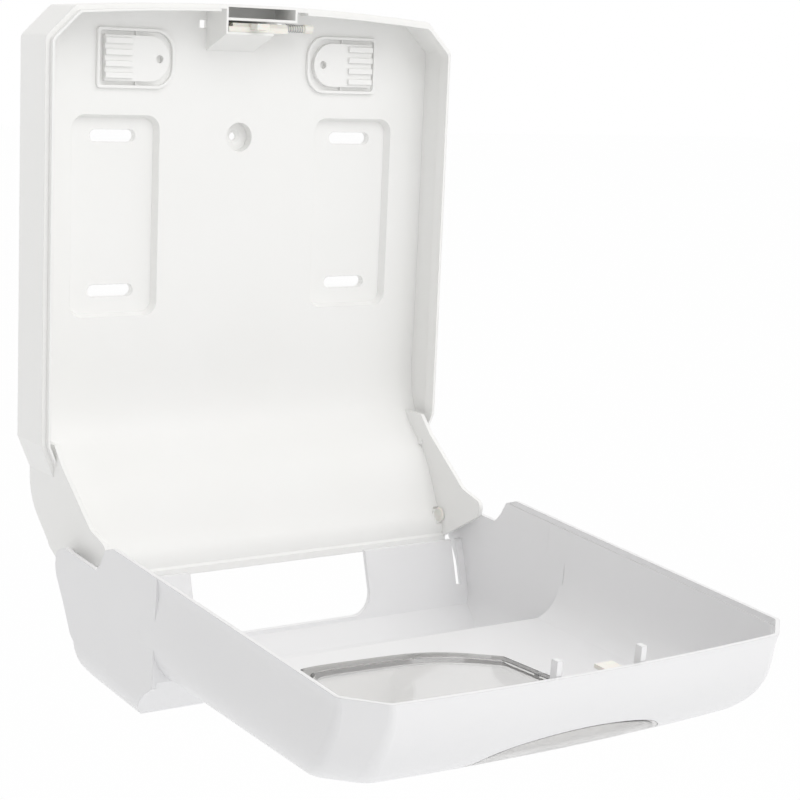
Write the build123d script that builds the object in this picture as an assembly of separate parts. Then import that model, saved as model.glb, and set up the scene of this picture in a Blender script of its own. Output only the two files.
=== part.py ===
from build123d import *
import math
import os

# Wall dispenser for folded paper towels: a shallow back shell that is screwed to the wall,
# and a deep front cover that is hinged at its bottom corners and stands open.
# X runs across the wall, +Y goes into the wall and +Z is up.
# The origin is the centre of the four wall slots, on the face of the wall.
# All sizes are in millimetres and all angles in degrees.

# Outline that the shell and the cover share, seen from the front
body_width = 302.0
crown_top = 136.2
crown_rise = 5.3
corner_width = 20.0
corner_height = 19.6
corner_radius = 5.0
jog_top = -142.5
jog_height = 21.0
jog_width = 8.7
tail_bottom = -227.5
wall = 3.0

# Depths from the wall
rim_depth = 37.2
front_depth = 101.5
plate_gap = 8.2
plate_wall = 3.0
tongue_height = 3.7
tongue_wall = 1.6
tongue_base = 6.0
cut_overrun = 6.0

# Towel chute, the sweep of the back plate towards the mouth
chute_start = -66.5
chute_bottom = -224.0
chute_reach = 58.8
chute_band_height = 6.0
chute_band_wall = 1.4
chute_point_shares = [(0.0, 0.0), (0.2, 0.527), (0.568, 0.66), (0.898, 0.883), (1.0, 1.0)]

# Hinge at the bottom corners
hinge_depth = 66.8
hinge_height = -209.0
open_angle = 93.6
pin_radius = 3.0
pin_clearance = 0.05
pin_hold_gap = 0.02
pin_head_radius = 5.0
pin_head_height = 2.0
pin_head_room = 1.2
pin_gap = 0.3
boss_radius = 6.2
boss_skin = 1.4

# Cheeks of the shell, which carry the hinge pins
cheek_nose_depth = 113.0
cheek_nose_height = -191.0
cheek_nose_radius = 5.0
cheek_heel_depth = 66.0
cheek_brow_depth = 49.0
cheek_brow_height = -154.5
cheek_waist_depth = 91.0
cheek_waist_height = -185.5
cheek_waist_radius = 14.0
back_curve_start = -167.0
back_curve_depth = 31.6
back_curve_end = -209.5
back_curve_slope = 0.83

# Wall slots, in two tall pockets
slot_spacing_x = 180.0
slot_spacing_z = 100.0
slot_length = 32.5
slot_width = 8.0
slot_collar = 3.0
pocket_width = 61.7
pocket_height = 130.0
pocket_centre = -1.5
pocket_floor_depth = 5.7
pocket_floor_wall = 3.0
pocket_draft = 2.0
pocket_radius = 7.0
well_height = 50.2
well_radius = 12.5
well_floor = 4.0
well_hole_radius = 2.5
well_sink_radius = 4.6

# Spare distance pieces that snap out of the plate beside the lock
spare_centre_x = 77.5
spare_centre_z = 99.5
spare_ring_width = 55.0
spare_ring_height = 38.0
spare_ring_wall = 2.0
spare_ring_rise = 2.2
spare_ring_radius = 14.0
spare_gap = 2.5
spare_thickness = 3.2
spare_block_width = 19.0
spare_block_rib = 1.6
spare_rib_count = 4
spare_hole_radius = 2.5
spare_bridge = 1.2

# Lock chamber at the top of the shell
lock_half_width = 26.5
lock_wall = 1.6
lock_shelf_top = 127.8
lock_shelf_wall = 1.8
lock_roof = 1.8
lock_step_drop = 9.0
lock_gusset_height = 12.5
lock_gusset_end = 9.0
key_slot_length = 9.0
key_slot_width = 3.0
key_slot_spacing = 20.0

# Core holes in the plate, one on each side of the lock
core_hole_width = 5.0
core_hole_height = 5.0
core_hole_rise = 1.7

# Lock base, a tray with rails on the step under the chamber
seat_gap = 0.1
slide_gap = 0.3
base_floor = 1.6
base_left = -24.0
base_right = 20.0
base_front_gap = 0.6
base_back_gap = 0.6
base_rail = 1.8

# Lock bar, which slides along X and throws its bolt beside the cover's catch
bar_left = -20.0
bar_shoulder = 20.8
bar_height = 4.0
bar_depth = 5.0
bar_travel = 6.0
bolt_left = -8.0
bolt_width = 5.0
bolt_reach = 10.5
toe_length = 5.0
toe_depth = 3.0
rod_radius = 1.9
spring_length = 13.2
knob_radius = 3.0
knob_length = 6.5
knob_edge = 0.6

# Key crank, which moves the bar, and its rivet
crank_x = 12.0
crank_arm = 9.0
crank_bite = 1.5
crank_height = 2.5
crank_hub_radius = 4.0
crank_tip_radius = 1.8
crank_arm_width = 2.6
crank_tail = 7.0
crank_swing = 38.94
pivot_radius = 1.5
pivot_clearance = 0.05
pivot_head_radius = 2.4
pivot_head_height = 1.0

# Coil spring on the bar's rod
spring_radius = 2.4
spring_wire_radius = 0.3
spring_turns = 7

# Screws of the lock base
screw_left = -18.0
screw_spacing = 20.0
screw_edge = 4.0
screw_radius = 1.4
screw_head_radius = 2.4
screw_head_height = 1.2
screw_depth = 6.0
screw_cross_width = 0.7
screw_cross_length = 3.0

# Catch and guide lugs of the cover
catch_left = 4.0
catch_width = 12.0
catch_rear_depth = 39.0
catch_wall = 2.4
catch_low = 122.0
catch_flange = 11.4
catch_flange_wall = 2.0
peg_radius = 1.2
peg_spacing = 7.0
peg_edge = 4.4
peg_stand = 0.8
lug_centre = 28.6
lug_width = 3.6
lug_height = 5.0
lug_top_gap = 0.6
lug_reach = 8.0
lug_root = 6.0

# Cover, drawn closed. Its front is a pillow form over a deeper chin.
front_edge_drop = 50.0
side_round = 25.0
front_tilt = 1.8
section_angles = [0.0, 24.0, 42.0, 57.0, 70.0, 81.0]
corner_front_radius = 16.0
cover_bottom = -98.0
seam_gap = 0.4
chin_top = -80.0
chin_drop = 100.0
chin_depth = 138.0
chin_round = 25.0
chin_bend = 9.0
chin_shares = [(0.0, 0.0), (0.84, 0.28), (1.0, 0.42), (1.0, 0.62), (0.9, 0.78), (0.66, 1.0)]
foot_rear_depth = 81.0
foot_rear_height = -196.5
mouth_half_width = 67.0
mouth_front_depth = 121.0
mouth_radius = 15.0
mouth_cut_top = -160.0
cheek_slot_radius = 50.6
cheek_slot_gap = 0.6

# Outline of the cover's side walls beside the hinge, as shares of this length and this drop
ear_length = 95.4
ear_drop = 135.5
ear_bend = 3.0
ear_shares = [
    (0.0, 0.0), (0.0, 0.421), (0.042, 0.494), (0.14, 0.531), (0.209, 0.572), (0.209, 0.919), (0.253, 0.983),
    (0.35, 1.0), (0.413, 0.99), (0.57, 0.902), (0.748, 0.814), (0.958, 0.577), (1.0, 0.31), (0.927, 0.21),
    (0.706, 0.0),
]

# Level window, smoked and clear. Its outline lies in a plane that looks up at 45 degrees.
window_half_width = 73.0
window_foot = -108.0
window_crown = 38.3
window_slant = 45.0
window_cut_start = -40.0
window_cut_length = 220.0
window_top_shares = [
    (1.0, 0.733), (0.932, 0.807), (0.849, 0.875), (0.712, 0.936), (0.521, 0.971), (0.329, 0.989),
    (0.151, 0.998), (-0.151, 0.998), (-0.329, 0.989), (-0.521, 0.971), (-0.712, 0.936), (-0.849, 0.875),
    (-0.932, 0.807), (-1.0, 0.733),
]
window_low_shares = [
    (-0.92, 0.012), (-0.644, 0.001), (-0.479, 0.003), (-0.144, 0.011), (0.027, 0.016), (0.178, 0.025),
    (0.329, 0.041), (0.425, 0.057), (0.544, 0.082), (0.662, 0.113), (0.808, 0.155),
]
window_left_radius = 12.0
window_right_radius = 3.5
window_wall = 2.2
window_flange = 4.0
window_flange_wall = 1.6
window_clearance = 0.15
window_rim = 2.4

half_width = body_width / 2
neck_half = half_width - jog_width
jog_bottom = jog_top - jog_height
plate_front = plate_gap + plate_wall
lock_step_height = lock_shelf_top - lock_step_drop
window_height = window_crown - window_foot
reach = 2 * body_width


def across(face_points, half_length, centre=0.0):
    # A solid with a side outline of (y, z) points, as long as twice half_length along X.
    edges = Polyline(*[(0, y, z) for y, z in face_points], close=True)
    face = make_face(edges)
    return Pos(centre - half_length, 0, 0) * extrude(face, amount=2 * half_length, dir=(1, 0, 0))


def block(x_low, x_high, y_low, y_high, z_low, z_high):
    size = (x_high - x_low, y_high - y_low, z_high - z_low)
    centre = ((x_high + x_low) / 2, (y_high + y_low) / 2, (z_high + z_low) / 2)
    return Pos(*centre) * Box(*size)


def rod(radius, start, direction, length):
    # A round rod from a point along a direction.
    return extrude(Plane(origin=start, z_dir=direction) * Circle(radius), amount=length)


def mirrored(shape):
    return mirror(shape, about=Plane.YZ)


def front_outline(inset, low_extra=0.0):
    # The shell's outline seen from the front, moved inwards by inset.
    side = half_width - inset
    neck = neck_half - inset
    shoulder_z = crown_top - crown_rise - inset
    corner_z = crown_top - crown_rise - corner_height - inset * (math.sqrt(2) - 1)
    corner_x = half_width - corner_width - inset * (math.sqrt(2) - 1)
    low = tail_bottom - low_extra
    crown = ThreePointArc((-corner_x, shoulder_z), (0, crown_top - inset), (corner_x, shoulder_z))
    flank = Polyline(
        (corner_x, shoulder_z), (side, corner_z), (side, jog_top), (neck, jog_bottom), (neck, low),
        (-neck, low), (-neck, jog_bottom), (-side, jog_top), (-side, corner_z), (-corner_x, shoulder_z),
    )
    face = make_face([crown, *flank.edges()])
    corners = face.vertices().filter_by(lambda v: v.Y > corner_z - wall)
    return Plane.XZ * fillet(corners, corner_radius)


def outline_prism(inset, depth, start=0.0, low_extra=0.0):
    # The outline pushed out from the wall between two depths.
    return Pos(0, -start, 0) * extrude(front_outline(inset, low_extra), amount=depth - start)


def chute_line(shift):
    # The swept line of the back plate, from its start to the chute's lower edge.
    drop = chute_start - chute_bottom
    points = [(-plate_front + shift - across_share * chute_reach, chute_start - down_share * drop)
              for across_share, down_share in chute_point_shares]
    return Spline(*[(0, y, z) for y, z in points], tangents=[(0, 0, -1), (0, 0, -1)])


def plate_solid():
    # The back plate with its chute, one wall thick, with a turned band along the lower edge.
    top = crown_top - wall / 2
    front, back = chute_line(0), chute_line(plate_wall)
    upper_front, upper_back = front @ 0, back @ 0
    lower_front, lower_back = front @ 1, back @ 1
    edges = [
        Line((0, upper_front.Y, top), upper_front), front,
        Line(lower_front, (0, lower_front.Y, tail_bottom)),
        Line((0, lower_front.Y, tail_bottom), (0, lower_back.Y, tail_bottom)),
        Line((0, lower_back.Y, tail_bottom), lower_back), back,
        Line(upper_back, (0, upper_back.Y, top)), Line((0, upper_back.Y, top), (0, upper_front.Y, top)),
    ]
    sheet = Pos(-reach / 2, 0, 0) * extrude(make_face(edges), amount=reach, dir=(1, 0, 0))
    band_top = tail_bottom + chute_band_height
    band = across([
        (lower_front.Y + plate_wall / 2, band_top), (lower_front.Y, band_top),
        (lower_front.Y - chute_band_wall, band_top - chute_band_wall),
        (lower_front.Y - chute_band_wall, tail_bottom), (lower_front.Y + plate_wall / 2, tail_bottom),
    ], half_width)
    return (sheet + band) & outline_prism(wall / 2, reach)


def cheek_solid():
    # The left cheek: the shell's side, carried forwards round the hinge pin.
    upper = Polyline(
        (-rim_depth, jog_top), (-cheek_brow_depth, cheek_brow_height),
        (-cheek_waist_depth, cheek_waist_height), (-cheek_nose_depth, cheek_nose_height),
        (-cheek_nose_depth + cheek_nose_radius / 2, cheek_nose_height - 2 * cheek_nose_radius),
        (-cheek_heel_depth, tail_bottom + chute_band_wall), (-back_curve_depth, back_curve_end),
    )
    back = Spline((-back_curve_depth, back_curve_end), (0, back_curve_start),
                  tangents=[(back_curve_slope, 1), (0, 1)])
    close = Polyline((0, back_curve_start), (0, jog_top), (-rim_depth, jog_top))
    face = make_face([*upper.edges(), back, *close.edges()])
    nose = face.vertices().sort_by(Axis.X)[0:2]
    face = fillet(nose, cheek_nose_radius)
    waist = face.vertices().sort_by_distance((-cheek_waist_depth, cheek_waist_height))[0]
    face = fillet(waist, cheek_waist_radius)
    return Pos(-neck_half, 0, 0) * extrude(Plane.YZ * face, amount=wall)


def pocket(width, height, centre_x, front_y, back_y, widen):
    # A tapered block between two depths, wider by widen at its front.
    def outline(extra):
        return RectangleRounded(width + 2 * extra, height + 2 * extra, pocket_radius + extra)
    front = Plane(origin=(centre_x, front_y, pocket_centre), z_dir=(0, 1, 0), x_dir=(-1, 0, 0)) * outline(widen)
    back = Plane(origin=(centre_x, back_y, pocket_centre), z_dir=(0, 1, 0), x_dir=(-1, 0, 0)) * outline(0)
    return loft([front, back])


def slot_prism(length, width, x, z, start, end):
    face = Plane(origin=(x, start, z), z_dir=(0, -1, 0), x_dir=(1, 0, 0)) * SlotOverall(length, width)
    return extrude(face, amount=start - end)


def add_pockets(shell):
    # Two tapered pockets that reach back to the wall, each with two slots for wall screws.
    floor_back = -(pocket_floor_depth - pocket_floor_wall)
    small_width = pocket_width - 2 * pocket_draft
    small_height = pocket_height - 2 * pocket_draft
    for side in (-1, 1):
        x = side * slot_spacing_x / 2
        outer = pocket(small_width + 2 * wall, small_height + 2 * wall, x, -plate_front + plate_wall / 2,
                       floor_back, pocket_draft)
        inner = pocket(small_width, small_height, x, -plate_front, -pocket_floor_depth, pocket_draft)
        shell = shell + outer
        for level in (-1, 1):
            z = level * slot_spacing_z / 2
            shell += slot_prism(slot_length + 2 * slot_collar, slot_width + 2 * slot_collar, x, z,
                                0, floor_back - pocket_floor_wall / 2)
        shell = shell - inner
        for level in (-1, 1):
            z = level * slot_spacing_z / 2
            shell -= slot_prism(slot_length, slot_width, x, z, cut_overrun, -pocket_floor_depth - cut_overrun)
    return shell


def add_well(shell):
    # The round well for a fifth screw, with a countersunk hole in its floor.
    centre = (0, 0, well_height)
    shell = shell + rod(well_radius, centre, (0, -1, 0), plate_front - plate_wall / 2)
    shell -= rod(well_radius - wall, (0, -well_floor, well_height), (0, -1, 0), plate_front)
    shell -= rod(well_hole_radius, (0, cut_overrun, well_height), (0, -1, 0), cut_overrun + plate_front)
    sink = Plane(origin=(0, -well_floor, well_height), z_dir=(0, 1, 0))
    sink_depth = well_sink_radius - well_hole_radius
    return shell - loft([sink * Circle(well_sink_radius), sink.offset(sink_depth) * Circle(well_hole_radius)])


def spare_outline(extra):
    # A D outline, round towards the middle of the shell, for the right-hand side.
    width = spare_ring_width - 2 * extra
    height = spare_ring_height - 2 * extra
    face = Rectangle(width, height)
    inner = face.vertices().group_by(Axis.X)[0]
    face = fillet(inner, spare_ring_radius - extra)
    outer = face.vertices().group_by(Axis.X)[-1]
    return fillet(outer, spare_ring_wall)


def spare_plane(depth):
    return Plane(origin=(spare_centre_x, -depth, spare_centre_z), z_dir=(0, -1, 0), x_dir=(1, 0, 0))


def spare_rings():
    # Raised beads round the spare pieces.
    ring = spare_plane(plate_front - plate_wall / 2) * (spare_outline(0) - spare_outline(spare_ring_wall))
    right = extrude(ring, amount=spare_ring_rise + plate_wall / 2)
    return right + mirrored(right)


def spare_piece():
    # A ribbed block with a round-ended tab, which lies in the ring until it is snapped out.
    base = spare_plane(plate_front + seat_gap)
    inner_half = spare_ring_width / 2 - spare_ring_wall - spare_gap
    half_height = spare_ring_height / 2 - spare_ring_wall - spare_gap
    tab_radius = half_height
    tab = Pos(-inner_half + tab_radius, 0) * Circle(tab_radius) + Pos(0, 0) * Rectangle(
        2 * inner_half - 2 * tab_radius, 2 * half_height)
    piece = extrude(base * tab, amount=spare_thickness)
    block_x = inner_half - spare_block_width / 2
    piece += extrude(base * Pos(block_x, 0) * Rectangle(spare_block_width, 2 * half_height),
                     amount=spare_thickness)
    pitch = 2 * half_height / spare_rib_count
    for number in range(spare_rib_count):
        level = -half_height + (number + 0.5) * pitch
        rib = base.offset(spare_thickness) * Pos(block_x, level) * Rectangle(spare_block_width, pitch / 2)
        piece += extrude(rib, amount=spare_block_rib)
    for level in (-1, 1):
        bridge = base * Pos(0, level * half_height) * Rectangle(spare_bridge, 2 * spare_gap - seat_gap)
        piece += extrude(bridge, amount=spare_bridge)
    hole = base * Pos(-inner_half + tab_radius / 2, 0) * Circle(spare_hole_radius)
    return piece - extrude(hole, amount=spare_thickness)


def tongue_solid():
    # The raised inner lip of the rim, which the cover's lip closes over.
    outer = outline_prism(wall, rim_depth + tongue_height, rim_depth - tongue_base)
    inner = outline_prism(wall + tongue_wall, rim_depth + tongue_height, rim_depth - tongue_base, wall)
    ring = outer - inner
    return ring - block(-reach, reach, -reach, reach, tail_bottom - wall, jog_bottom)


def add_lock_chamber(shell):
    # A chamber for the key at the top, over a step that carries the lock's moving parts.
    y_front, y_back = -rim_depth, -plate_front + plate_wall / 2
    roof = crown_top - lock_roof
    box = block(-lock_half_width, lock_half_width, y_front, y_back, lock_shelf_top - lock_shelf_wall,
                crown_top - wall / 2) & outline_prism(wall / 2, reach)
    box += block(-lock_half_width, -lock_half_width + lock_wall, y_front, y_back, lock_step_height,
                 lock_shelf_top)
    step = across([
        (y_front, lock_step_height), (y_back, lock_step_height),
        (y_back, lock_step_height - lock_gusset_height), (-plate_front, lock_step_height - lock_gusset_height),
        (y_front, lock_step_height - lock_wall),
    ], (lock_gusset_end + lock_half_width) / 2, (lock_gusset_end - lock_half_width) / 2)
    tongue_front = -rim_depth - tongue_height - cut_overrun
    shell = shell + box + step
    shell -= block(-lock_half_width + lock_wall, lock_half_width - lock_wall, tongue_front, -plate_front,
                   lock_shelf_top, roof)
    lug_room = lug_centre + lug_width
    shell -= block(-lug_room, lug_room, tongue_front, -rim_depth, lock_step_height, crown_top)
    inside = outline_prism(wall, reach)
    for side in (-1, 1):
        x_low, x_high = sorted((side * lock_half_width, side * lug_room))
        shell -= inside & block(x_low, x_high, tongue_front, -rim_depth + tongue_base, lock_step_height, crown_top)
        x_low, x_high = sorted((side * (lock_half_width + slide_gap),
                                side * (lock_half_width + slide_gap + core_hole_width)))
        shell -= block(x_low, x_high, -plate_front - cut_overrun, cut_overrun,
                       lock_step_height + core_hole_rise,
                       lock_step_height + core_hole_rise + core_hole_height)
    for x in screw_places():
        shell -= rod(screw_radius + pivot_clearance, (x, screw_y(), lock_step_height), (0, 0, -1), screw_depth)
    for side in (-1, 1):
        x = side * key_slot_spacing / 2
        y = -(rim_depth + plate_front) / 2
        shell -= block(x - key_slot_length / 2, x + key_slot_length / 2, y - key_slot_width / 2,
                       y + key_slot_width / 2, lock_step_height + bar_height, crown_top + cut_overrun)
    return shell


def make_back_shell():
    ring = outline_prism(0, rim_depth) - outline_prism(wall, rim_depth + cut_overrun, -cut_overrun,
                                                       cut_overrun)
    ring -= block(-reach, reach, -reach, reach, tail_bottom - reach, jog_bottom)
    left_cheek = cheek_solid()
    cheeks = left_cheek + mirrored(left_cheek)
    shell = ring + cheeks + plate_solid() + tongue_solid()
    for side in (-1, 1):
        shell -= rod(pin_radius + pin_clearance, (side * (neck_half + cut_overrun), -hinge_depth, hinge_height),
                     (-side, 0, 0), 2 * cut_overrun + wall)
        shell -= rod(pin_head_radius + pin_head_room, (side * (neck_half - wall), -hinge_depth, hinge_height),
                     (-side, 0, 0), pin_head_height + 2 * pin_head_room)
    shell = add_pockets(shell)
    shell = add_well(shell)
    shell = shell + spare_rings()
    return add_lock_chamber(shell)


def skin_section(inset, angle):
    # One cross-section of the cover's pillow form, parallel to the wall but for the front's tilt.
    turn = math.radians(angle)
    share = math.sin(turn)
    depth = rim_depth + (front_depth - rim_depth - inset) * share
    drop = inset + (front_edge_drop - inset) * (1 - math.cos(turn))
    past = max(depth - front_depth + side_round, 0) / (side_round - inset)
    side = half_width - inset - (side_round - inset) * (1 - math.sqrt(1 - past ** 2))
    radius = corner_radius + (corner_front_radius - corner_radius) * share
    bevel_saving = inset * (2 - math.sqrt(2))
    shoulder = crown_top - drop - crown_rise
    corner_x = side - corner_width + bevel_saving
    corner_z = shoulder - corner_height + bevel_saving
    crown = ThreePointArc((-corner_x, shoulder), (0, crown_top - drop), (corner_x, shoulder))
    flank = Polyline((corner_x, shoulder), (side, corner_z), (side, cover_bottom - inset),
                     (-side, cover_bottom - inset), (-side, corner_z), (-corner_x, shoulder))
    face = make_face([crown, *flank.edges()])
    corners = face.vertices().filter_by(lambda v: v.Y > corner_z - wall)
    tilt = math.radians(front_tilt) * share
    plane = Plane(origin=(0, -depth, 0), x_dir=(1, 0, 0), z_dir=(0, -math.cos(tilt), math.sin(tilt)))
    return plane * fillet(corners, radius)


def pillow(inset):
    # The cover's upper form, from the rim to the flat front.
    return loft([skin_section(inset, angle) for angle in section_angles])


def rounded_plan(inset):
    # The chin's outline seen from above, pushed through its whole height.
    face = Pos(0, (inset - chin_depth) / 2) * Rectangle(body_width - 2 * inset, chin_depth - inset)
    front = face.vertices().group_by(Axis.Y)[0]
    return Pos(0, 0, -reach / 2) * extrude(fillet(front, chin_round - inset), amount=reach)


def bent_face(points, bends, radius):
    # A side face from (y, z) points, with the named ones rounded.
    face = make_face(Polyline(*points, close=True))
    corners = [face.vertices().sort_by_distance((*points[number], 0))[0] for number in bends]
    return fillet(corners, radius)


def chin(inset):
    # The deep lower front, from the step under the flat front down to the feet.
    swell = chin_depth - front_depth
    points = [(-front_depth - depth_share * swell, chin_top - drop_share * chin_drop)
              for depth_share, drop_share in chin_shares]
    front_y, front_z = points[-1]
    slope = (front_z - foot_rear_height) / (foot_rear_depth + front_y)
    rear = -foot_rear_depth + wall + cut_overrun
    rear_z = foot_rear_height + slope * (wall + cut_overrun)
    outline = [(rear, chin_top), *points, (rear, rear_z)]
    face = bent_face(outline, range(2, len(points)), chin_bend)
    if inset:
        face = offset(face, -inset, kind=Kind.INTERSECTION)
    half_length = half_width - inset
    solid = Pos(-half_length, 0, 0) * extrude(Plane.YZ * face, amount=2 * half_length)
    return solid & rounded_plan(inset)


def ear():
    # The left side wall beside the hinge, cut back so that it clears the shell's rim.
    outline = [(-rim_depth - seam_gap - depth_share * ear_length, chin_top - drop_share * ear_drop)
               for depth_share, drop_share in ear_shares]
    face = bent_face(outline, range(1, len(outline) - 2), ear_bend)
    plate = Pos(-half_width, 0, 0) * extrude(Plane.YZ * face, amount=wall)
    return plate & rounded_plan(0)


def trim_feet(cover):
    # Opens the towel mouth between the feet, their rear side and the slots for the cheeks.
    inner_half = half_width - wall
    cover -= block(-inner_half, inner_half, -foot_rear_depth, -rim_depth, tail_bottom - reach,
                   cover_bottom)
    mouth = Pos(0, -mouth_front_depth / 2) * RectangleRounded(2 * mouth_half_width, mouth_front_depth,
                                                             mouth_radius)
    cover -= Pos(0, 0, tail_bottom) * extrude(mouth, amount=mouth_cut_top - tail_bottom)
    for side in (-1, 1):
        start = (side * (neck_half - wall - cheek_slot_gap), -hinge_depth, hinge_height)
        cover -= rod(cheek_slot_radius, start, (side, 0, 0), wall + 2 * cheek_slot_gap)
    return cover


def add_bosses(cover):
    # Blind bosses on the side walls, which hold the hinge pins.
    boss_length = half_width - neck_half - pin_gap
    for side in (-1, 1):
        start = (side * (neck_half + pin_gap), -hinge_depth, hinge_height)
        cover += rod(boss_radius, start, (side, 0, 0), boss_length)
        cover -= rod(pin_radius + pin_hold_gap, start, (side, 0, 0), boss_length - boss_skin)
    return cover


def lug():
    # The right guide lug, which stands out of the cover's top edge and runs beside the lock chamber.
    x_low, x_high = lug_centre - lug_width / 2, lug_centre + lug_width / 2
    top = crown_top - wall - lug_top_gap
    root_front = -rim_depth - tongue_height - lug_root
    arm = block(x_low, x_high, root_front, -rim_depth + lug_reach, top - lug_height, top)
    return arm + block(x_low, x_high, root_front, root_front + lug_root - seam_gap, top - lug_height,
                       crown_top - wall / 2)


def peg_places():
    middle = catch_left + catch_width / 2
    depth = catch_rear_depth + catch_flange - peg_edge
    return [(middle + side * peg_spacing / 2, -depth) for side in (-1, 1)]


def window_face(extra):
    # The window's outline, drawn flat and widened by extra.
    half = window_half_width + extra
    height = window_height + 2 * extra

    def places(shares):
        return [(half * x_share, window_foot - extra + height * up_share) for x_share, up_share in shares]
    top, low = places(window_top_shares), places(window_low_shares)
    side_slope = (top[-1][0] - low[0][0], top[-1][1] - low[0][1])
    crown = Spline(*top, tangents=[(side_slope[0], side_slope[1]), (side_slope[0], -side_slope[1])])
    edges = [crown, Line(top[-1], low[0]), Spline(*low), Line(low[-1], top[0])]
    face = make_face(edges)
    left = face.vertices().sort_by_distance((*low[0], 0))[0]
    face = fillet(left, window_left_radius)
    right = face.vertices().sort_by_distance((*low[-1], 0))[0]
    return fillet(right, window_right_radius)


def window_prism(extra):
    # The outline pushed through the cover, up and forwards at the window's slant.
    slant = math.radians(window_slant)
    plane = Plane(origin=(0, 0, 0), x_dir=(1, 0, 0), z_dir=(0, -math.sin(slant), math.cos(slant)))
    return extrude(plane.offset(window_cut_start) * window_face(extra), amount=window_cut_length)


def make_closed_cover():
    cover = pillow(0) + chin(0) - pillow(wall) - chin(wall)
    left_ear = ear()
    cover = trim_feet(cover) + left_ear + mirrored(left_ear)
    cover = add_bosses(cover)
    lip_end = rim_depth + tongue_height + seam_gap
    ledge = outline_prism(wall - seam_gap, lip_end, rim_depth - cut_overrun)
    cover -= ledge & block(-reach, reach, -reach, reach, jog_top, reach)
    cover -= block(-reach, reach, -rim_depth - seam_gap, cut_overrun, cover_bottom - reach, reach)
    cover -= window_prism(0)
    right_lug = lug()
    cover += right_lug + mirrored(right_lug)
    for x, y in peg_places():
        top = crown_top - wall / 2
        cover += rod(peg_radius, (x, y, top), (0, 0, -1), wall + catch_flange_wall + peg_stand)
    return cover


def make_closed_window():
    # A clear pane that follows the cover's skin, with a thicker rim and a flange behind the wall.
    backing = wall + window_clearance
    thick = pillow(0) - pillow(backing + window_flange_wall)
    flange = (pillow(backing) - pillow(backing + window_flange_wall)) & window_prism(window_flange)
    window = (thick & window_prism(-window_clearance)) + flange
    return window - (pillow(window_wall) & window_prism(-window_rim))


def make_closed_catch():
    # The striker for the bolt: a flange under the cover's top wall and a tongue that hangs from it.
    x_high = catch_left + catch_width
    rear, front = -catch_rear_depth, -catch_rear_depth - catch_flange
    skin = pillow(wall + seat_gap)
    flange = skin - pillow(wall + seat_gap + catch_flange_wall)
    catch = flange & block(catch_left, x_high, front, rear, catch_low, crown_top)
    catch += skin & block(catch_left, x_high, rear - catch_wall, rear, catch_low, crown_top)
    for x, y in peg_places():
        catch -= rod(peg_radius + pivot_clearance, (x, y, crown_top), (0, 0, -1), crown_top - catch_low)
    return catch


def opened(shape):
    # Turns a piece of the closed cover about the hinge, to where it stands open.
    return shape.rotate(Axis((0, -hinge_depth, hinge_height), (1, 0, 0)), open_angle)


def make_hinge_pin():
    # The right pin: its head lies inside the cheek and its shank is held in the cover's boss.
    head_end = neck_half - wall - pin_gap
    head = rod(pin_head_radius, (head_end - pin_head_height, -hinge_depth, hinge_height), (1, 0, 0),
               pin_head_height)
    rim = head.edges().filter_by(GeomType.CIRCLE).sort_by(Axis.X)[0]
    head = fillet(rim, pin_head_height / 2)
    shank_length = half_width - boss_skin - pin_gap - head_end
    return head + rod(pin_radius, (head_end, -hinge_depth, hinge_height), (1, 0, 0), shank_length)


def floor_top():
    return lock_step_height + seat_gap + base_floor


def bar_front():
    return -rim_depth + base_front_gap + base_rail + slide_gap


def bar_back():
    return bar_front() + bar_depth


def crank_y():
    return bar_back() - crank_bite + crank_arm


def screw_y():
    return -plate_front - base_back_gap - screw_edge


def screw_places():
    return [screw_left, screw_left + screw_spacing]


def make_lock_base():
    front = -rim_depth + base_front_gap
    back = -plate_front - base_back_gap
    low = floor_top() - base_floor
    base = block(base_left, base_right, front, back, low, floor_top())
    rail_top = floor_top() + base_rail
    base += block(base_left, bolt_left - slide_gap, front, front + base_rail, floor_top(), rail_top)
    base += block(bolt_left + bolt_width + bar_travel + slide_gap, base_right, front, front + base_rail,
                  floor_top(), rail_top)
    rail_front = bar_back() + slide_gap
    base += block(base_left, crank_x - crank_arm + crank_arm_width, rail_front, rail_front + base_rail,
                  floor_top(), rail_top)
    for x in screw_places():
        base -= rod(screw_radius + pivot_clearance, (x, screw_y(), low), (0, 0, 1), base_floor)
    return base - rod(pivot_radius + pivot_clearance, (crank_x, crank_y(), low), (0, 0, 1), base_floor)


def make_lock_bar():
    low = floor_top() + seat_gap
    high = low + bar_height
    bar = block(bar_left, bar_shoulder, bar_front(), bar_back(), low, high)
    reach_y = bar_front() - bolt_reach
    bolt_right = bolt_left + bolt_width
    bar += block(bolt_left, bolt_right, reach_y, bar_front(), low, high)
    toe = Pos(bolt_right, reach_y, low) * extrude(make_face(Polyline(
        (0, 0), (toe_length - toe_depth / 2, 0), (toe_length, toe_depth / 2), (toe_length, toe_depth),
        (0, toe_depth), close=True)), amount=bar_height)
    notch_half = crank_tip_radius + slide_gap
    notch_x = crank_x - bar_travel / 2
    notch_depth = crank_bite + crank_tip_radius + slide_gap
    notch = block(notch_x - notch_half, notch_x + notch_half, bar_back() - notch_depth,
                  bar_back() + slide_gap, low, high)
    middle = (bar_shoulder, (bar_front() + bar_back()) / 2, low + bar_height / 2)
    spindle = rod(rod_radius, middle, (1, 0, 0), spring_length + 2 * seat_gap)
    knob_start = (bar_shoulder + spring_length + 2 * seat_gap, middle[1], middle[2])
    knob = rod(knob_radius, knob_start, (1, 0, 0), knob_length)
    knob = fillet(knob.edges().filter_by(GeomType.CIRCLE), knob_edge)
    return bar + toe - notch + spindle + knob


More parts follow.
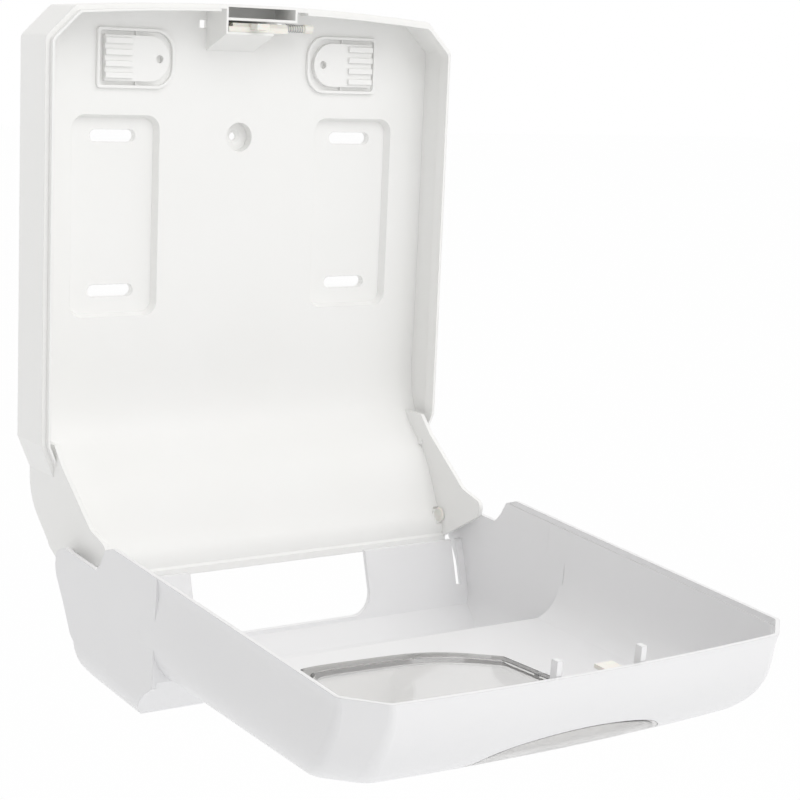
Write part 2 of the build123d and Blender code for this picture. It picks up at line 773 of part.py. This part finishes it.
def make_lock_spring():
    # A plain coil on the bar's rod, between the shoulder and the knob.
    coil_length = spring_length - 2 * spring_wire_radius
    start_x = bar_shoulder + seat_gap + spring_wire_radius
    middle_y = (bar_front() + bar_back()) / 2
    middle_z = floor_top() + seat_gap + bar_height / 2
    path = Helix(pitch=coil_length / spring_turns, height=coil_length, radius=spring_radius,
                 center=(start_x, middle_y, middle_z), direction=(1, 0, 0))
    section = Plane(origin=path @ 0, z_dir=path % 0) * Circle(spring_wire_radius)
    return sweep(section, path=path, is_frenet=True)


def make_key_crank():
    low = floor_top() + seat_gap
    half_swing = crank_swing / 2
    arm = Pos(0, -crank_arm / 2) * Rectangle(crank_arm_width, crank_arm)
    arm += Pos(0, -crank_arm) * Circle(crank_tip_radius)
    tail = Pos(0, crank_tail / 2) * Rectangle(crank_arm_width, crank_tail)
    tail += Pos(0, crank_tail) * Circle(crank_arm_width / 2)
    face = Circle(crank_hub_radius) + arm + tail - Circle(pivot_radius + pivot_clearance)
    crank = extrude(face, amount=crank_height)
    return Pos(crank_x, crank_y(), low) * Rot(0, 0, -half_swing) * crank


def make_crank_pivot():
    # A rivet through the base and the crank, with a head at each end.
    low = floor_top() - base_floor
    high = floor_top() + 2 * seat_gap + crank_height
    pivot = rod(pivot_radius, (crank_x, crank_y(), low), (0, 0, 1), high - low)
    upper = rod(pivot_head_radius, (crank_x, crank_y(), high), (0, 0, 1), pivot_head_height)
    rim = upper.edges().filter_by(GeomType.CIRCLE).sort_by(Axis.Z)[-1]
    lower = rod(pivot_head_radius - seat_gap, (crank_x, crank_y(), low), (0, 0, -1), pivot_head_height)
    return pivot + fillet(rim, pivot_head_height / 2) + lower


def make_lock_screws():
    # Two pan-head screws that hold the base on the step.
    screws = []
    for x in screw_places():
        head = rod(screw_head_radius, (x, screw_y(), floor_top()), (0, 0, 1), screw_head_height)
        head = fillet(head.edges().filter_by(GeomType.CIRCLE).sort_by(Axis.Z)[-1], screw_head_height / 2)
        for turn in (0, 90):
            cross = Box(screw_cross_length, screw_cross_width, screw_head_height)
            head -= Pos(x, screw_y(), floor_top() + screw_head_height) * Rot(0, 0, turn) * cross
        shank_length = base_floor + seat_gap + screw_depth - seat_gap
        screws.append(head + rod(screw_radius, (x, screw_y(), floor_top()), (0, 0, -1), shank_length))
    return Compound(children=screws)


def make_all():
    pin = make_hinge_pin()
    spare = spare_piece()
    return {
        "back_shell": make_back_shell(),
        "front_cover": opened(make_closed_cover()),
        "level_window": opened(make_closed_window()),
        "cover_catch": opened(make_closed_catch()),
        "right_hinge_pin": pin,
        "left_hinge_pin": mirrored(pin),
        "right_spacer": spare,
        "left_spacer": mirrored(spare),
        "lock_base": make_lock_base(),
        "lock_screws": make_lock_screws(),
        "lock_bar": make_lock_bar(),
        "lock_spring": make_lock_spring(),
        "key_crank": make_key_crank(),
        "crank_pivot": make_crank_pivot(),
    }


if __name__ == "__main__":
    os.makedirs("parts", exist_ok=True)
    for name, shape in make_all().items():
        export_step(shape, os.path.join("parts", name + ".step"))
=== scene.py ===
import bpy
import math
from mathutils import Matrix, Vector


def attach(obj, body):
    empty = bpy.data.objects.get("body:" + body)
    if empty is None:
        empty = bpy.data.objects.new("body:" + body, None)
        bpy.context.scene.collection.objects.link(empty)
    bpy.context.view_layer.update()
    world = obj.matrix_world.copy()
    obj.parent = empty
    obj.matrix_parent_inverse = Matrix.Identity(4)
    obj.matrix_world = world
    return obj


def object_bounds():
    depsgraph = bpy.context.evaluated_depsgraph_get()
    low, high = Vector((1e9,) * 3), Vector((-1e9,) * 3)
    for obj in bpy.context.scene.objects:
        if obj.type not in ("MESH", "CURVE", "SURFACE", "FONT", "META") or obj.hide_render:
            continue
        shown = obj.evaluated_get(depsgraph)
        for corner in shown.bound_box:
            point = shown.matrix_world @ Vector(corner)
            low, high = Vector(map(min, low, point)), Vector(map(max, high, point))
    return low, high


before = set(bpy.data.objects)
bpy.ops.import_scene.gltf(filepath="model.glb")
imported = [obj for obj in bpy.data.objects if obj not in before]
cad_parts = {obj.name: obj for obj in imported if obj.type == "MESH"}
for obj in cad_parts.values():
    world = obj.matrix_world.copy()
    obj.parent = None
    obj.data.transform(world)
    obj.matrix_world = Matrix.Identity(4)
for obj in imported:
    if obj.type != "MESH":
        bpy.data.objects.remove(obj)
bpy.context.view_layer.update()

# %% [markdown]
# A washroom dispenser for folded paper towels, standing open.
# The back shell is screwed to a wall, and the deep front cover hangs forwards on two pins.
# The engineering solids arrive as meshes that already have the right shape and place,
# so this script gives them their finishes, adds what is too fine for the solids, and lights them.

MM = 0.001
print("pieces", sorted(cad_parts))

# %% [markdown]
# Colours are written as the hex values of a paint chart and turned to the linear numbers
# that a renderer adds and multiplies. One helper adds a node, sets its sockets and joins it up.

# %% Colours and nodes


def linear(hex_code, alpha=1.0):
    """The linear colour of an sRGB hex value."""
    channels = [int(hex_code[i:i + 2], 16) / 255 for i in (0, 2, 4)]
    return tuple(c / 12.92 if c <= 0.04045 else ((c + 0.055) / 1.055) ** 2.4 for c in channels) + (alpha,)


def add_node(tree, kind, links=(), sockets=(), **settings):
    """One node with its settings, socket values and links. A link is (input, node, output)."""
    node = tree.nodes.new(kind)
    for name, value in settings.items():
        setattr(node, name, value)
    for name, value in dict(sockets).items():
        node.inputs[name].default_value = value
    for name, source, output in links:
        tree.links.new(source.outputs[output], node.inputs[name])
    return node


def new_material(name):
    """An empty material with a principled shader and the object's own coordinates."""
    material = bpy.data.materials.new(name)
    material.use_nodes = True
    tree = material.node_tree
    tree.nodes.clear()
    place = add_node(tree, "ShaderNodeTexCoord")
    shader = add_node(tree, "ShaderNodeBsdfPrincipled")
    add_node(tree, "ShaderNodeOutputMaterial", [("Surface", shader, "BSDF")])
    return material, tree, place, shader


# %% [markdown]
# The shell and the cover are injection-moulded ABS. The mould is polished outside and lightly
# spark-eroded inside, so the white is even and the sheen is soft. A slow drift of a few tones and a
# grain of half a millimetre, drawn coarser than the real one so that it shows, keep it from looking flat.
# Moulded edges are never sharp, so the shading rounds them by a fraction of a millimetre.

# %% Moulded ABS
EDGE_ROUND_MM = 0.5


def moulded_abs(name, colour, shadow_colour, rough_low, rough_high, grain_mm, grain_depth_mm):
    """White moulded ABS: a soft sheen over a fine grain."""
    material, tree, place, shader = new_material(name)
    drift = add_node(tree, "ShaderNodeTexNoise", [("Vector", place, "Object")],
                     {"Scale": 1 / (90 * MM), "Detail": 2.0, "Roughness": 0.5})
    tone = add_node(tree, "ShaderNodeMix", [("Factor", drift, "Fac")], data_type="RGBA")
    tone.inputs[6].default_value = linear(shadow_colour)
    tone.inputs[7].default_value = linear(colour)
    grain = add_node(tree, "ShaderNodeTexNoise", [("Vector", place, "Object")],
                     {"Scale": 1 / (grain_mm * MM), "Detail": 3.0, "Roughness": 0.6})
    sheen = add_node(tree, "ShaderNodeMapRange", [("Value", grain, "Fac")],
                     {"To Min": rough_low, "To Max": rough_high})
    soft_edge = add_node(tree, "ShaderNodeBevel", sockets={"Radius": EDGE_ROUND_MM * MM})
    bump = add_node(tree, "ShaderNodeBump", [("Height", grain, "Fac"), ("Normal", soft_edge, "Normal")],
                    {"Strength": 0.25, "Distance": grain_depth_mm * MM})
    tree.links.new(tone.outputs[2], shader.inputs["Base Color"])
    tree.links.new(sheen.outputs["Result"], shader.inputs["Roughness"])
    tree.links.new(bump.outputs["Normal"], shader.inputs["Normal"])
    shader.inputs["IOR"].default_value = 1.53
    return material


SHELL_ABS = moulded_abs("satin_abs_shell", "F6F6F5", "F2F2F0", 0.34, 0.46, 0.9, 0.02)
COVER_ABS = moulded_abs("polished_abs_cover", "EFEFF0", "EBEBEC", 0.24, 0.36, 1.1, 0.015)
print("finishes", SHELL_ABS.name, COVER_ABS.name)

# %% [markdown]
# The level window is a pane of lightly smoked polycarbonate. Its tone comes from a little dye in the
# plastic, so light that crosses it is dimmed a shade, and its faces keep a sharp gloss.

# %% Smoked polycarbonate


def smoked_clear(name):
    material, tree, place, shader = new_material(name)
    haze = add_node(tree, "ShaderNodeTexNoise", [("Vector", place, "Object")],
                    {"Scale": 1 / (25 * MM), "Detail": 2.0})
    sheen = add_node(tree, "ShaderNodeMapRange", [("Value", haze, "Fac")], {"To Min": 0.03, "To Max": 0.08})
    tree.links.new(sheen.outputs["Result"], shader.inputs["Roughness"])
    shader.inputs["Base Color"].default_value = linear("DDDCDB")
    shader.inputs["Transmission Weight"].default_value = 1.0
    shader.inputs["IOR"].default_value = 1.585
    return material


SMOKED = smoked_clear("smoked_polycarbonate")

# %% [markdown]
# Pins, catch and lock slides are acetal: waxy, slightly warm and self-lubricating, with light that
# sinks a little way in. The crank, rivet, screws and spring are zinc-plated steel.

# %% Acetal and plated steel


def acetal(name, colour):
    material, tree, place, shader = new_material(name)
    cloud = add_node(tree, "ShaderNodeTexNoise", [("Vector", place, "Object")],
                     {"Scale": 1 / (6 * MM), "Detail": 3.0})
    sheen = add_node(tree, "ShaderNodeMapRange", [("Value", cloud, "Fac")], {"To Min": 0.36, "To Max": 0.5})
    bump = add_node(tree, "ShaderNodeBump", [("Height", cloud, "Fac")],
                    {"Strength": 0.15, "Distance": 0.02 * MM})
    tree.links.new(sheen.outputs["Result"], shader.inputs["Roughness"])
    tree.links.new(bump.outputs["Normal"], shader.inputs["Normal"])
    shader.inputs["Base Color"].default_value = linear(colour)
    shader.inputs["IOR"].default_value = 1.48
    shader.inputs["Subsurface Weight"].default_value = 0.15
    shader.inputs["Subsurface Scale"].default_value = 1.0 * MM
    return material


def plated_steel(name):
    material, tree, place, shader = new_material(name)
    stretch = add_node(tree, "ShaderNodeMapping", [("Vector", place, "Object")], {"Scale": (1.0, 1.0, 12.0)})
    streaks = add_node(tree, "ShaderNodeTexNoise", [("Vector", stretch, "Vector")],
                       {"Scale": 1 / (2 * MM), "Detail": 2.0})
    sheen = add_node(tree, "ShaderNodeMapRange", [("Value", streaks, "Fac")],
                     {"To Min": 0.24, "To Max": 0.42})
    tree.links.new(sheen.outputs["Result"], shader.inputs["Roughness"])
    shader.inputs["Base Color"].default_value = linear("C9CACC")
    shader.inputs["Metallic"].default_value = 1.0
    return material


ACETAL = acetal("cream_acetal", "EFEDE6")
STEEL = plated_steel("zinc_plated_steel")

# %% [markdown]
# Each solid keeps its mesh and takes a finish in place of the plain one it came with.

# %% Finishes on the solids
FINISHES = {
    "back_shell": SHELL_ABS, "left_spacer": SHELL_ABS, "right_spacer": SHELL_ABS, "front_cover": COVER_ABS,
    "level_window": SMOKED, "cover_catch": ACETAL, "left_hinge_pin": ACETAL, "right_hinge_pin": ACETAL,
    "lock_base": ACETAL, "lock_bar": ACETAL, "lock_spring": STEEL, "lock_screws": STEEL, "key_crank": STEEL,
    "crank_pivot": STEEL,
}
for node_name, finish in FINISHES.items():
    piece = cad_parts[node_name]
    piece.data.materials.clear()
    piece.data.materials.append(finish)
    print(node_name, "takes", finish.name)

# %% [markdown]
# Small moulded tabs on the inside of the cover keep the window's flange in place. They are one block,
# set by a node tree on each point of a small mesh, and they stand on the cover's inner face.
# The places are written for the closed cover and turned about the hinge to where it stands open.

# %% Window tabs
HINGE = Vector((0.0, -66.8, -209.0)) * MM
OPEN_ANGLE = math.radians(93.6)
OPEN_TURN = Matrix.Rotation(OPEN_ANGLE, 4, "X")
TAB_WIDTH, TAB_HEIGHT, TAB_STAND, TAB_ROOT = 6.0 * MM, 3.0 * MM, 2.4 * MM, 0.5 * MM
TAB_PLACES = [(15.1, -100.2, -53.5), (66.9, -98.3, 5.3)]


def opened(place):
    """Where a point of the closed cover, in millimetres, is while the cover stands open."""
    return OPEN_TURN @ (Vector(place) * MM - HINGE) + HINGE


def tab_tree():
    """A node tree that sets a block on each point, with its finish."""
    tree = bpy.data.node_groups.new("tabs_on_points", "GeometryNodeTree")
    tree.interface.new_socket("Points", in_out="INPUT", socket_type="NodeSocketGeometry")
    for name in ("Width", "Height", "Stand"):
        tree.interface.new_socket(name, in_out="INPUT", socket_type="NodeSocketFloat")
    tree.interface.new_socket("Turn", in_out="INPUT", socket_type="NodeSocketVector")
    tree.interface.new_socket("Finish", in_out="INPUT", socket_type="NodeSocketMaterial")
    tree.interface.new_socket("Tabs", in_out="OUTPUT", socket_type="NodeSocketGeometry")
    given = add_node(tree, "NodeGroupInput")
    size = add_node(tree, "ShaderNodeCombineXYZ", [("X", given, "Width"), ("Y", given, "Stand"),
                                                   ("Z", given, "Height")])
    block = add_node(tree, "GeometryNodeMeshCube", [("Size", size, "Vector")])
    spread = add_node(tree, "GeometryNodeInstanceOnPoints", [("Points", given, "Points"),
                                                              ("Instance", block, "Mesh"),
                                                              ("Rotation", given, "Turn")])
    real = add_node(tree, "GeometryNodeRealizeInstances", [("Geometry", spread, "Instances")])
    painted = add_node(tree, "GeometryNodeSetMaterial", [("Geometry", real, "Geometry"),
                                                          ("Material", given, "Finish")])
    add_node(tree, "NodeGroupOutput", [("Tabs", painted, "Geometry")])
    return tree


def plain_mesh(source, name):
    """The evaluated mesh of an object as an object of its own, without modifiers."""
    bpy.context.view_layer.update()
    seen = source.evaluated_get(bpy.context.evaluated_depsgraph_get())
    result = bpy.data.objects.new(name, bpy.data.meshes.new_from_object(seen))
    bpy.context.scene.collection.objects.link(result)
    bpy.data.objects.remove(source)
    return result


points = bpy.data.meshes.new("tab_points")
middle = TAB_STAND / 2 - TAB_ROOT
points.from_pydata([opened((x, y + middle / MM, z)) for x, y, z in TAB_PLACES], [], [])
carrier = bpy.data.objects.new("tab_carrier", points)
bpy.context.scene.collection.objects.link(carrier)
maker = carrier.modifiers.new("tabs", "NODES")
maker.node_group = tab_tree()
tab_values = {"Width": TAB_WIDTH, "Height": TAB_HEIGHT, "Stand": TAB_STAND,
              "Turn": (OPEN_ANGLE, 0.0, 0.0), "Finish": COVER_ABS}
for item in maker.node_group.interface.items_tree:
    if item.name in tab_values:
        maker[item.identifier] = tab_values[item.name]
tabs = plain_mesh(carrier, "window_tabs")
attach(tabs, "cover")
print("window tabs", len(tabs.data.polygons), "faces")

# %% [markdown]
# The floor lies well below the object, which really hangs on a wall. The background is white for the
# camera and for what gloss and clear plastic show, and a soft light for everything else. That light is
# weaker on the left, as in a studio with its large screen on the right.

# %% Floor and sky
FLOOR_DROP = 0.30
FLOOR_HALF_WIDTH = 12.0
FLOOR_GLOW_SHARE = 0.97
SKY_LEFT, SKY_RIGHT = 0.52, 1.25
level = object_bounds()[0].z - FLOOR_DROP
corners = [(-1, -1), (1, -1), (1, 1), (-1, 1)]
floor_mesh = bpy.data.meshes.new("floor")
floor_mesh.from_pydata([(x * FLOOR_HALF_WIDTH, y * FLOOR_HALF_WIDTH, level) for x, y in corners],
                       [], [(0, 1, 2, 3)])
floor = bpy.data.objects.new("floor", floor_mesh)
bpy.context.scene.collection.objects.link(floor)


def seen_directly(tree):
    """1 for rays from the camera, and for those that gloss or clear plastic sends on."""
    path = add_node(tree, "ShaderNodeLightPath")
    mirror = add_node(tree, "ShaderNodeMath", operation="MAXIMUM")
    tree.links.new(path.outputs["Is Glossy Ray"], mirror.inputs[0])
    tree.links.new(path.outputs["Is Transmission Ray"], mirror.inputs[1])
    either = add_node(tree, "ShaderNodeMath", operation="MAXIMUM")
    tree.links.new(path.outputs["Is Camera Ray"], either.inputs[0])
    tree.links.new(mirror.outputs[0], either.inputs[1])
    return either


floor_paint = bpy.data.materials.new("pale_floor")
floor_paint.use_nodes = True
floor_tree = floor_paint.node_tree
floor_tree.nodes.clear()
matt = add_node(floor_tree, "ShaderNodeBsdfDiffuse", sockets={"Color": linear("F2F3F4")})
glow = add_node(floor_tree, "ShaderNodeEmission", sockets={"Color": (1, 1, 1, 1), "Strength": 1.0})
direct = seen_directly(floor_tree)
share = add_node(floor_tree, "ShaderNodeMath", operation="MULTIPLY")
share.inputs[1].default_value = FLOOR_GLOW_SHARE
floor_tree.links.new(direct.outputs[0], share.inputs[0])
blend = add_node(floor_tree, "ShaderNodeMixShader")
floor_tree.links.new(share.outputs[0], blend.inputs[0])
floor_tree.links.new(matt.outputs[0], blend.inputs[1])
floor_tree.links.new(glow.outputs[0], blend.inputs[2])
add_node(floor_tree, "ShaderNodeOutputMaterial", [("Surface", blend, 0)])
floor.data.materials.append(floor_paint)

world = bpy.data.worlds.new("studio")
bpy.context.scene.world = world
world.use_nodes = True
sky_tree = world.node_tree
sky_tree.nodes.clear()
sky_place = add_node(sky_tree, "ShaderNodeTexCoord")
sky_axes = add_node(sky_tree, "ShaderNodeSeparateXYZ", [("Vector", sky_place, "Generated")])
sky_slope = add_node(sky_tree, "ShaderNodeMapRange", [("Value", sky_axes, "X")],
                     {"From Min": -1.0, "From Max": 1.0, "To Min": SKY_LEFT, "To Max": SKY_RIGHT})
fill_light = add_node(sky_tree, "ShaderNodeBackground", [("Strength", sky_slope, "Result")],
                      {"Color": linear("FEFDFC")})
white = add_node(sky_tree, "ShaderNodeBackground", sockets={"Color": (1, 1, 1, 1), "Strength": 1.0})
sky_direct = seen_directly(sky_tree)
sky_blend = add_node(sky_tree, "ShaderNodeMixShader")
sky_tree.links.new(sky_direct.outputs[0], sky_blend.inputs[0])
sky_tree.links.new(fill_light.outputs[0], sky_blend.inputs[1])
sky_tree.links.new(white.outputs[0], sky_blend.inputs[2])
add_node(sky_tree, "ShaderNodeOutputWorld", [("Surface", sky_blend, 0)])

# %% [markdown]
# Three soft lamps: the key from above and in front lights the inside of the shell and the cover, a weak
# one behind on the left grazes the outer sides, and a low one in front reaches up under the top wall.

# %% Lamps


def soft_lamp(name, place, aim, size, power):
    """A square area lamp at a place, turned towards a point."""
    lamp = bpy.data.lights.new(name, "AREA")
    lamp.shape = "SQUARE"
    lamp.size = size
    lamp.energy = power
    stand = bpy.data.objects.new(name, lamp)
    stand.location = place
    stand.rotation_mode = "QUATERNION"
    stand.rotation_quaternion = (Vector(aim) - Vector(place)).to_track_quat("-Z", "Y")
    bpy.context.scene.collection.objects.link(stand)
    return stand


AIM = (0.0, -0.15, -0.1)
soft_lamp("key_lamp", place=(0.2, -1.7, 1.5), aim=AIM, size=1.4, power=11)
soft_lamp("side_lamp", place=(-0.7, 0.35, 0.15), aim=(-0.15, 0.0, 0.0), size=0.4, power=0.6)
soft_lamp("low_lamp", place=(-0.1, -1.3, -0.45), aim=(0.05, 0.0, 0.05), size=0.6, power=0.5)

# %% [markdown]
# The camera stands where the photographer's did: on the object's left, a little above it, with a
# slight roll. Its place was worked out from straight edges of known size.

# %% Camera
CAMERA_PLACE = (-0.65406, -1.16280, 0.11637)
SENSOR_WIDTH = 36.0
FOCAL_LENGTH = 88.7
AZIMUTH, FALL, ROLL = (math.radians(a) for a in (34.549, 10.259, -2.488))
forwards = Vector((math.sin(AZIMUTH) * math.cos(FALL), math.cos(AZIMUTH) * math.cos(FALL), -math.sin(FALL)))
level_right = Vector((math.cos(AZIMUTH), -math.sin(AZIMUTH), 0.0))
level_down = forwards.cross(level_right)
right = math.cos(ROLL) * level_right + math.sin(ROLL) * level_down
down = -math.sin(ROLL) * level_right + math.cos(ROLL) * level_down
camera_data = bpy.data.cameras.new("camera")
camera_data.sensor_width = SENSOR_WIDTH
camera_data.lens = FOCAL_LENGTH
camera = bpy.data.objects.new("camera", camera_data)
turn = Matrix((right, -down, -forwards)).transposed()
camera.matrix_world = Matrix.Translation(CAMERA_PLACE) @ turn.to_4x4()
bpy.context.scene.collection.objects.link(camera)
bpy.context.scene.camera = camera
bpy.context.scene.view_settings.view_transform = "Standard"
